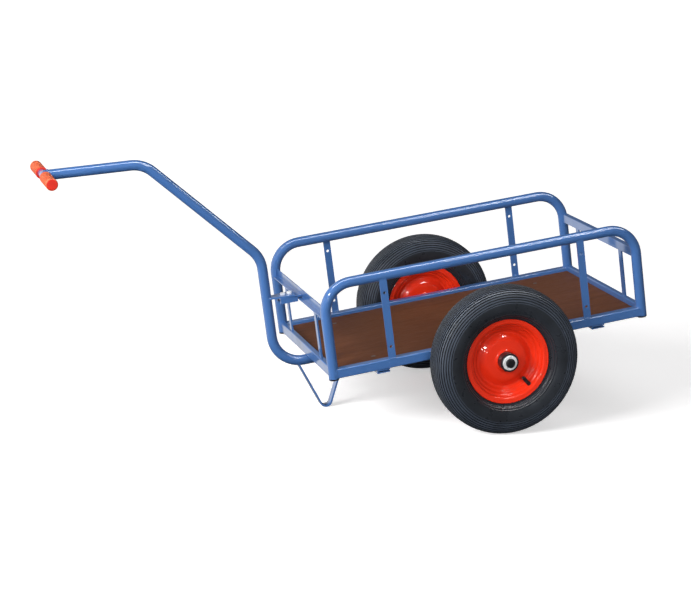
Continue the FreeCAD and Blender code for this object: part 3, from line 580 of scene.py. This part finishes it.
def build_screws():
    """Countersunk heads with a cross recess, on plain shanks."""
    bm = bmesh.new()
    head, arm, half = 5.9, 3.2, 0.75
    for x in (-312, 298):
        for y in (-190, 190):
            rim = [bm.verts.new(cart(x + head * math.cos(a), y + head * math.sin(a), 31.9))
                   for a in (2 * math.pi * k / 32 for k in range(32))]
            corners = []
            for turn in range(4):
                c, s = math.cos(turn * math.pi / 2), math.sin(turn * math.pi / 2)
                corners += [(c * a - s * b, s * a + c * b)
                            for a, b in ((half, -half), (arm, -half), (arm, half))]
            cross = [bm.verts.new(cart(x + a, y + b, 31.9)) for a, b in corners]
            floor = [bm.verts.new(cart(x + a * 0.8, y + b * 0.8, 30.2)) for a, b in corners]
            edges = [bm.edges.new((loop[k], loop[(k + 1) % len(loop)])) for loop in (rim, cross)
                     for k in range(len(loop))]
            bmesh.ops.triangle_fill(bm, use_beauty=True, edges=edges)
            for k in range(12):
                bm.faces.new((cross[k], cross[(k + 1) % 12], floor[(k + 1) % 12], floor[k]))
            bm.faces.new(floor)
            previous = rim
            for radius, z in ((3, 28.9), (3, 7), (2.2, 6)):
                ring = [bm.verts.new(cart(x + radius * math.cos(a), y + radius * math.sin(a), z))
                        for a in (2 * math.pi * k / 32 for k in range(32))]
                for k in range(32):
                    bm.faces.new((previous[k], previous[(k + 1) % 32], ring[(k + 1) % 32], ring[k]))
                previous = ring
            bm.faces.new(previous)
    finish_piece("countersunk_screws", mesh_from(bm, "screws"), "frame", [DULL_STEEL],
                 ("board_screws",))


# ---------------------------------------------------------------- weld beads

WELD_STEP = 1.6


def weld_lines():
    """The seams that join the frame: each bead's radius and the seam's corners in cart millimetres."""
    lines = []
    for s in SIDES.values():
        for leg, inwards in ((FRONT_LEG, 1), (REAR_LEG, -1)):
            for y, reach in ((277.2, 6.6), (252.8, 6.8)):       # side rail to leg
                x = leg + inwards * reach
                lines.append((1.6, [(x, s * y, 18.5), (x, s * y, 41)]))
            lines.append((1.8, [(leg + inwards * 14 * math.cos(a), s * (HALF_FRAME + 14 * math.sin(a)), 42)
                                for a in (math.radians(d) for d in range(-62, 63, 6))]))
            x = leg - inwards * 7.4                             # bottom end rail to leg
            lines.append((1.6, [(x, s * 253, 19), (x, s * 253, 46)]))
            post = (REAR_LEG + FRONT_LEG) / 2 - inwards * 277   # side upright, foot and head
            for y in (277.6, 272.4):
                lines.append((1.3, [(post - 9, s * y, 42.4), (post + 9, s * y, 42.4)]))
            lines.append((1.3, [(post - 9, s * 276.8, 258.4), (post + 9, s * 276.8, 258.4)]))
            flange = leg - inwards * 0.5                        # foot of the end upright
            lines.append((1.2, [(flange, s * 154 - 9, 47.3), (flange, s * 154 + 9, 47.3)]))
            outer = leg - inwards * 2                           # top end rail to leg
            lines.append((1.4, [(outer, s * 251.6, 183), (outer, s * 251.6, 201)]))
        for x in (-22, 22):                                     # axle bracket to side rail
            lines.append((2.0, [(x, s * 254.6, 16.6), (x, s * 275.4, 16.6)]))
        lines.append((2.0, [(-18, s * 254.4, 16.8), (18, s * 254.4, 16.8)]))
    for first, last in ((-5, -1), (1, 5)):                      # plate to drawbar
        turns = (math.radians(15 * k) for k in range(first, last + 1))
        lines.append((1.6, [(-538.5 + 14 * math.cos(t), 14 * math.sin(t), 195.2) for t in turns]))
    turns = (math.radians(12 * k) for k in range(31))           # crossbar's collar
    lines.append((1.8, [(-1066, 14.4 * math.cos(t), 631.4 + 14.4 * math.sin(t)) for t in turns]))
    turns = (math.radians(180 + 12 * k) for k in range(16))     # drawbar's end below the deck
    lines.append((2.0, [(-331.5, 14.2 * math.cos(t), 3 + 14.2 * math.sin(t)) for t in turns]))
    for x in (-476, -344):                                      # prop to drawbar
        for y in (-12.2, 12.2):
            lines.append((1.5, [(x - 4, y, -4.2), (x + 4, y, -4.2)]))
    return lines


def build_welds():
    """Painted-over weld beads with the ripple of the torch's passes."""
    ripple = random.Random(11)
    bm = bmesh.new()
    for radius, corners in weld_lines():
        points = []
        for a, b in zip(corners, corners[1:]):
            steps = max(1, round(math.dist(a, b) / WELD_STEP))
            points += [tuple(p + (q - p) * k / steps for p, q in zip(a, b)) for k in range(steps)]
        points.append(corners[-1])
        count = len(points)
        radii = []
        for k in range(count):
            ending = min(1.0, 0.45 + 0.35 * min(k, count - 1 - k))
            radii.append(radius * MM * ending * (1 + 0.12 * math.sin(k * 2.4) + ripple.uniform(-0.08, 0.08)))
        tube_along(bm, [cart(*p) for p in points], radii, 8)
    finish_piece("weld_beads", mesh_from(bm, "weld_beads"), "frame", [BLUE],
                 sharp=math.radians(60))


for wheel_side in SIDES:
    build_tyre(wheel_side)
    build_rim(wheel_side)
    build_valve(wheel_side)
    build_grip(wheel_side)
build_screws()
build_welds()

# ---------------------------------------------------------------- floor, light and camera

FLOOR_HALF = 60.0
GLOW_IN_PAINTED_SHADOW, GLOW_FAR = 0.48, 1.0      # the paper's glow: dimmed under and around the cart as a painted shadow, full well away from it


def build_floor():
    bm = bmesh.new()
    corners = [bm.verts.new((x * FLOOR_HALF, y * FLOOR_HALF, 0))
               for x, y in ((-1, -1), (1, -1), (1, 1), (-1, 1))]
    bm.faces.new(corners)
    mesh = mesh_from(bm, "floor")
    paper = Surface("studio_paper_painted_shadow", (0.86, 0.85, 0.85, 1.0), 0.9, specular=0.1)
    paper.set("Emission Color", (1.0, 0.995, 0.995, 1.0))
    distance = paper.tree.nodes.new("ShaderNodeVectorMath")
    distance.operation = "LENGTH"
    paper.link(paper.place, distance.inputs[0])
    # the glow rises with distance from the cart, so the dimmer floor near it is a painted shadow
    paper.drive("Emission Strength", paper.spread(distance.outputs["Value"], GLOW_IN_PAINTED_SHADOW, GLOW_FAR, 1.2, 5.0))
    mesh.materials.append(paper.material)
    floor = bpy.data.objects.new("studio_floor", mesh)
    bpy.context.scene.collection.objects.link(floor)
    floor.visible_diffuse = False
    floor.visible_glossy = False


def softbox(name, place, target, width, height, watts, lights=True, mirrored=True):
    """A rectangular lamp: it may light surfaces, or show in their gloss, or both."""
    light = bpy.data.lights.new(name, "AREA")
    light.shape = "RECTANGLE"
    light.size = width
    light.size_y = height
    light.energy = watts
    lamp = bpy.data.objects.new(name, light)
    lamp.location = place
    lamp.rotation_euler = (Vector(target) - Vector(place)).to_track_quat("-Z", "Y").to_euler()
    lamp.visible_diffuse = lights
    lamp.visible_glossy = mirrored
    bpy.context.scene.collection.objects.link(lamp)


SKY_LEVELS = ((0.0, 0.15), (0.25, 0.4), (0.33, 1.0), (0.62, 1.0), (0.7, 0.4), (0.8, 0.32), (1.0, 0.3))
BRIGHT_WALL = (-0.8, 0.6, 0.0)      # the way to the lit side of the studio, behind the cart and to its front
WALL_FROM, WALL_TO = 0.3, 0.8
DIM_SIDE = 0.12
SKY_STRENGTH = 1.15


def build_world():
    """A dim studio whose one bright wall shows in the paint of the faces turned to the cart's front."""
    world = bpy.data.worlds.new("studio")
    bpy.context.scene.world = world
    world.use_nodes = True
    tree = world.node_tree
    background = tree.nodes["Background"]
    place = tree.nodes.new("ShaderNodeTexCoord")
    measures = []
    for axis, ends in (((0.0, 0.0, 1.0), (-1, 1, 0, 1)), (BRIGHT_WALL, (WALL_FROM, WALL_TO, DIM_SIDE, 1))):
        along = tree.nodes.new("ShaderNodeVectorMath")
        along.operation = "DOT_PRODUCT"
        along.inputs[1].default_value = axis
        tree.links.new(place.outputs["Generated"], along.inputs[0])
        span = tree.nodes.new("ShaderNodeMapRange")
        for socket, number in zip(("From Min", "From Max", "To Min", "To Max"), ends):
            span.inputs[socket].default_value = number
        tree.links.new(along.outputs["Value"], span.inputs["Value"])
        measures.append(span.outputs["Result"])
    ramp = tree.nodes.new("ShaderNodeValToRGB")
    tree.links.new(measures[0], ramp.inputs["Fac"])
    elements = ramp.color_ramp.elements
    while len(elements) < len(SKY_LEVELS):
        elements.new(0.5)
    for element, (position, level) in zip(elements, SKY_LEVELS):
        element.position = position
        element.color = (level, level, level * 1.01, 1.0)
    product = tree.nodes.new("ShaderNodeVectorMath")
    product.operation = "SCALE"
    tree.links.new(ramp.outputs["Color"], product.inputs["Vector"])
    tree.links.new(measures[1], product.inputs["Scale"])
    tree.links.new(product.outputs["Vector"], background.inputs["Color"])
    background.inputs["Strength"].default_value = SKY_STRENGTH


CAMERA_PLACE = Vector((-1.5464, -5.3894, 1.5853))
CAMERA_AZIMUTH = math.radians(16.306)
CAMERA_DROP = math.radians(12.921)
CAMERA_ROLL = math.radians(1.081)
FOCAL_LENGTH = 109.7


def build_camera():
    ahead = Vector((math.sin(CAMERA_AZIMUTH) * math.cos(CAMERA_DROP),
                    math.cos(CAMERA_AZIMUTH) * math.cos(CAMERA_DROP), -math.sin(CAMERA_DROP)))
    level = Vector((math.cos(CAMERA_AZIMUTH), -math.sin(CAMERA_AZIMUTH), 0))
    upright = level.cross(ahead)
    right = level * math.cos(CAMERA_ROLL) + upright * math.sin(CAMERA_ROLL)
    up = right.cross(ahead)
    data = bpy.data.cameras.new("studio_camera")
    data.lens = FOCAL_LENGTH
    data.sensor_fit = "HORIZONTAL"
    data.sensor_width = 36
    data.clip_end = 200
    camera = bpy.data.objects.new("studio_camera", data)
    turn = Matrix((right, up, -ahead)).transposed().to_4x4()
    camera.matrix_world = Matrix.Translation(CAMERA_PLACE) @ turn
    bpy.context.scene.collection.objects.link(camera)
    bpy.context.scene.camera = camera


SPARK_DISTANCE = 4.5
SPARKS = (                          # small lamps seen only in gloss: way from the near wheel, size, watts
    ("spark_large", (-0.664, -0.648, 0.370), 0.36, 34),
    ("spark_high", (-0.820, -0.360, 0.470), 0.40, 34),
    ("spark_low", (-0.688, -0.692, 0.210), 0.20, 12),
    ("spark_front", (-0.515, -0.843, 0.123), 0.20, 12),
)

build_floor()
build_world()
softbox("left_window", (-3.6, -1.9, 2.1), (0.2, 0, 0.3), 2.4, 2.0, 270, mirrored=False)
near_wheel = wheel_centre("left")
for lamp_name, ahead, breadth, watts in SPARKS:
    softbox(lamp_name, near_wheel + Vector(ahead) * SPARK_DISTANCE, near_wheel, breadth, breadth, watts,
            lights=False)
softbox("rim_strip", (1.36, -2.14, 3.15), (0.37, -0.34, 0.2), 1.2, 0.2, 34, lights=False)
softbox("overhead_strip", (0.6, -0.75, 3.3), (0.6, 0, 0.3), 7.0, 0.34, 230, lights=False)
softbox("overhead_fill", (0.6, -0.2, 3.6), (0.3, 0, 0.3), 4.0, 3.0, 34, mirrored=False)
softbox("front_fill", (-0.6, -6.0, 2.0), (0.1, 0, 0.3), 3.0, 2.0, 215, mirrored=False)
build_camera()
bpy.context.scene.view_settings.view_transform = "Standard"
